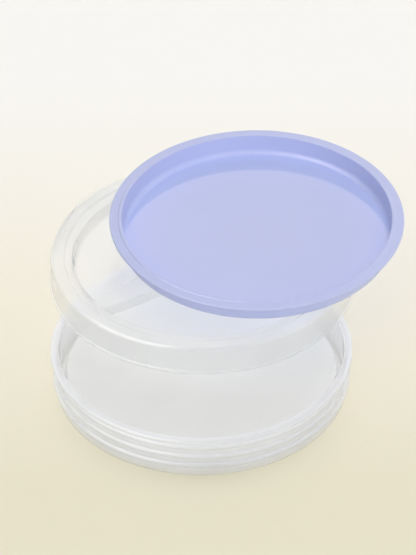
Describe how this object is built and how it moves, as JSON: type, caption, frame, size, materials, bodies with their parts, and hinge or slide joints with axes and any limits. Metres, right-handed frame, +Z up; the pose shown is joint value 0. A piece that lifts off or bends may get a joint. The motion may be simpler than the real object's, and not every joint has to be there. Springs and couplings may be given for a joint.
{
  "type": "wet palette",
  "caption": "Round wet palette for miniature painting, shown apart: a clear ribbed dish with damp pad and paper, a clear lid with a grip bar, and a blue mixing tray.",
  "frame": {"origin": "middle of the dish's flat underside, on the table", "axes": "+Z up, +Y from the dish towards the lid behind it, +X to the right as seen from the front"},
  "size_m": [0.1688, 0.2064, 0.0498],
  "materials": {
    "clear_plastic": "translucent, softly glossy",
    "blue_plastic": "satin",
    "sponge": "open-celled foam",
    "paper": "damp, matt"
  },
  "bodies": {
    "dish": {"base_dish": "clear_plastic"},
    "pad": {"sponge_pad": "sponge"},
    "sheet": {"palette_paper": "paper"},
    "lid": {"cover_lid": "clear_plastic"},
    "tray": {"palette_tray": "blue_plastic"}
  },
  "joints": [
    {"name": "pad_lift", "type": "slide", "parent": "dish", "child": "pad", "axis": [0, 0, 1], "range_m": [0, 0.006]},
    {"name": "paper_lift", "type": "slide", "parent": "pad", "child": "sheet", "axis": [0, 0, 1], "range_m": [0, 0.006]},
    {"name": "lid_lift", "type": "slide", "parent": "dish", "child": "lid", "axis": [0, 0, 1], "range_m": [0, 0.06]},
    {"name": "tray_lift", "type": "slide", "parent": "lid", "child": "tray", "axis": [0, 0, 1], "range_m": [0, 0.05]}
  ]
}
